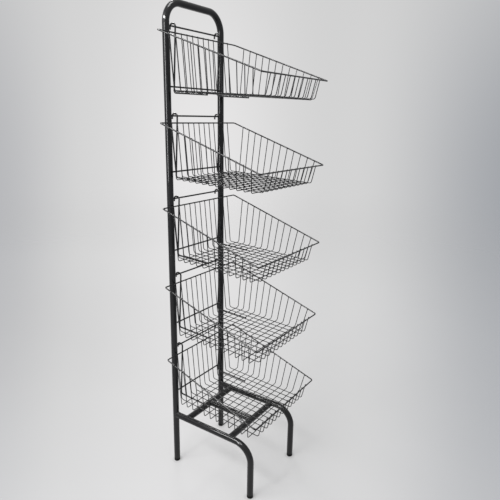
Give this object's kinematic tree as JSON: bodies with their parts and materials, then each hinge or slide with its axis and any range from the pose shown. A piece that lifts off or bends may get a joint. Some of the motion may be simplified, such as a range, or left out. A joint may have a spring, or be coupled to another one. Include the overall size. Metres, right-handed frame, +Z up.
{
  "type": "basket display stand",
  "caption": "Tall black tube stand with sloped wire baskets hooked on cross rods one above the other, on a base with two bent front legs; each basket lifts off.",
  "frame": {"origin": "on the floor, under the middle of the stand's overall box", "axes": "+Z up; -Y towards the shopper, the way the baskets reach; +X to the right as seen from the front"},
  "size_m": [0.4376, 0.4542, 1.819],
  "materials": {
    "tube_coat": "black gloss powder coat on steel tube",
    "rod_coat": "black gloss powder coat on steel rod",
    "wire_coat": "black satin coat on steel wire",
    "spigot_steel": "bare drawn steel, hidden inside the uprights",
    "cap_plastic": "black moulded polyethylene"
  },
  "bodies": {
    "frame": {"top_hoop": "tube_coat", "lower_upright_left": "tube_coat", "lower_upright_right": "tube_coat", "joint_spigot_left": "spigot_steel", "joint_spigot_right": "spigot_steel", "base_leg_left": "tube_coat", "base_leg_right": "tube_coat", "rear_cross_tube": "tube_coat", "front_cross_tube": "tube_coat", "centre_rail": "tube_coat", "hanger_rod_1": "rod_coat", "hanger_rod_2": "rod_coat", "hanger_rod_3": "rod_coat", "hanger_rod_4": "rod_coat", "hanger_rod_5": "rod_coat", "rest_rod_1": "rod_coat", "rest_rod_2": "rod_coat", "rest_rod_3": "rod_coat", "rest_rod_4": "rod_coat", "rest_rod_5": "rod_coat", "foot_cap_rear_left": "cap_plastic", "foot_cap_rear_right": "cap_plastic", "foot_cap_front_left": "cap_plastic", "foot_cap_front_right": "cap_plastic"},
    "basket_1": {"basket_1_rim": "wire_coat", "basket_1_hook_left": "wire_coat", "basket_1_hook_right": "wire_coat", "basket_1_lengthwise_wires": "wire_coat", "basket_1_crosswise_wires": "wire_coat"},
    "basket_2": {"basket_2_rim": "wire_coat", "basket_2_hook_left": "wire_coat", "basket_2_hook_right": "wire_coat", "basket_2_lengthwise_wires": "wire_coat", "basket_2_crosswise_wires": "wire_coat"},
    "basket_3": {"basket_3_rim": "wire_coat", "basket_3_hook_left": "wire_coat", "basket_3_hook_right": "wire_coat", "basket_3_lengthwise_wires": "wire_coat", "basket_3_crosswise_wires": "wire_coat"},
    "basket_4": {"basket_4_rim": "wire_coat", "basket_4_hook_left": "wire_coat", "basket_4_hook_right": "wire_coat", "basket_4_lengthwise_wires": "wire_coat", "basket_4_crosswise_wires": "wire_coat"},
    "basket_5": {"basket_5_rim": "wire_coat", "basket_5_hook_left": "wire_coat", "basket_5_hook_right": "wire_coat", "basket_5_lengthwise_wires": "wire_coat", "basket_5_crosswise_wires": "wire_coat"}
  },
  "joints": [
    {"name": "basket_1_lift", "type": "slide", "parent": "frame", "child": "basket_1", "axis": [0, -0.054, 0.9985], "range_m": [0, 0.03]},
    {"name": "basket_2_lift", "type": "slide", "parent": "frame", "child": "basket_2", "axis": [0, -0.054, 0.9985], "range_m": [0, 0.03]},
    {"name": "basket_3_lift", "type": "slide", "parent": "frame", "child": "basket_3", "axis": [0, -0.054, 0.9985], "range_m": [0, 0.03]},
    {"name": "basket_4_lift", "type": "slide", "parent": "frame", "child": "basket_4", "axis": [0, -0.054, 0.9985], "range_m": [0, 0.03]},
    {"name": "basket_5_lift", "type": "slide", "parent": "frame", "child": "basket_5", "axis": [0, -0.054, 0.9985], "range_m": [0, 0.03]}
  ]
}
